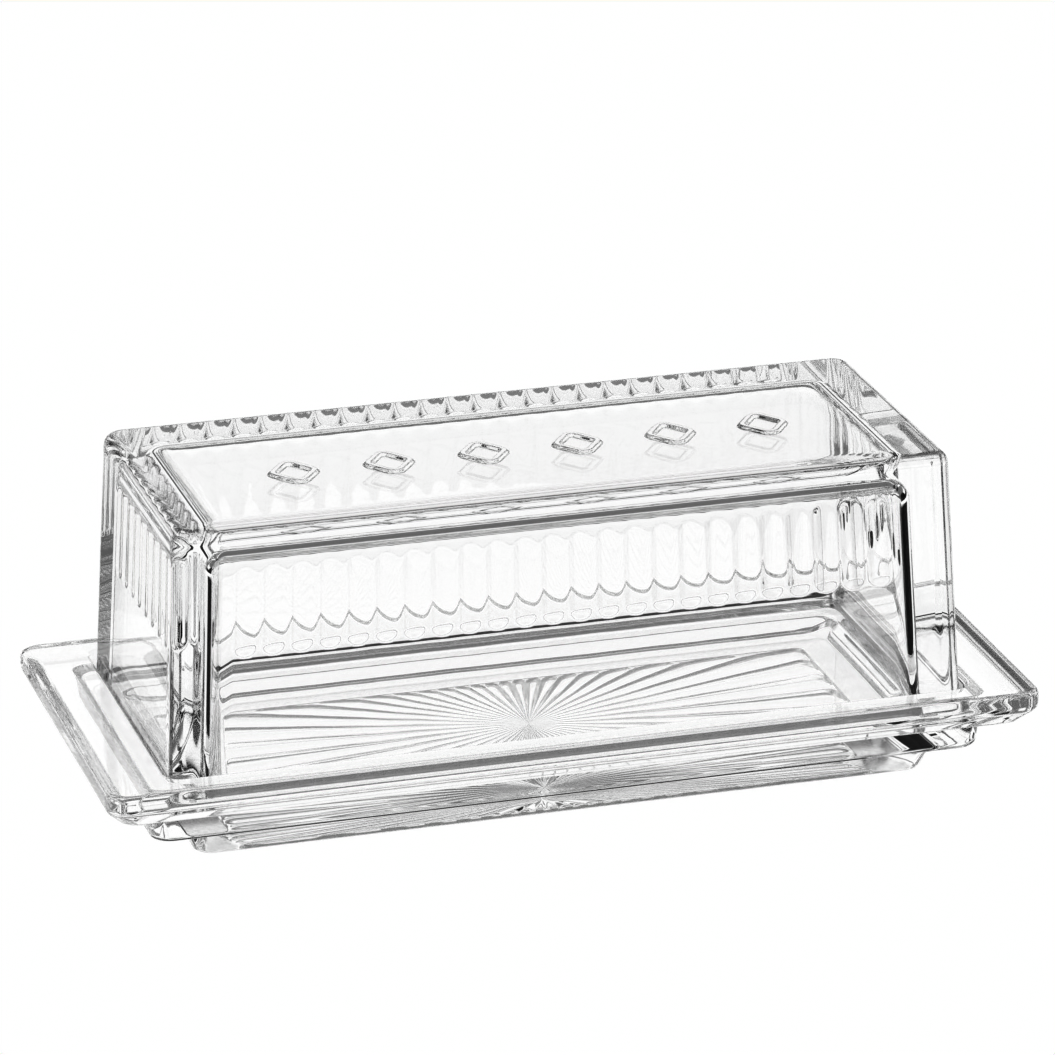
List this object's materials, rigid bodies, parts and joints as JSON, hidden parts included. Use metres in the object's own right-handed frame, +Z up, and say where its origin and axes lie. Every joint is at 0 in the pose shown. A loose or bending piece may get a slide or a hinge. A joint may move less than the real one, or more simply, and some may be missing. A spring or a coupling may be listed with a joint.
{
  "type": "covered butter dish",
  "caption": "Clear pressed-glass butter dish: a stepped rectangular tray with a sunburst under it, and a reeded box-shaped cover that lifts off.",
  "frame": {"origin": "middle of the dish's footprint, on the surface that it stands on", "axes": "+X along the dish's length, +Y across it, +Z up, the way the cover lifts off"},
  "size_m": [0.197, 0.088, 0.0713],
  "materials": {
    "tray_glass": "clear colourless pressed glass, fire-polished",
    "cover_glass": "clear colourless pressed glass, fire-polished"
  },
  "bodies": {
    "tray": {"tray": "tray_glass"},
    "cover": {"cover": "cover_glass"}
  },
  "joints": [
    {"name": "cover_lift", "type": "slide", "parent": "tray", "child": "cover", "axis": [0, 0, 1], "range_m": [0, 0.09]}
  ]
}
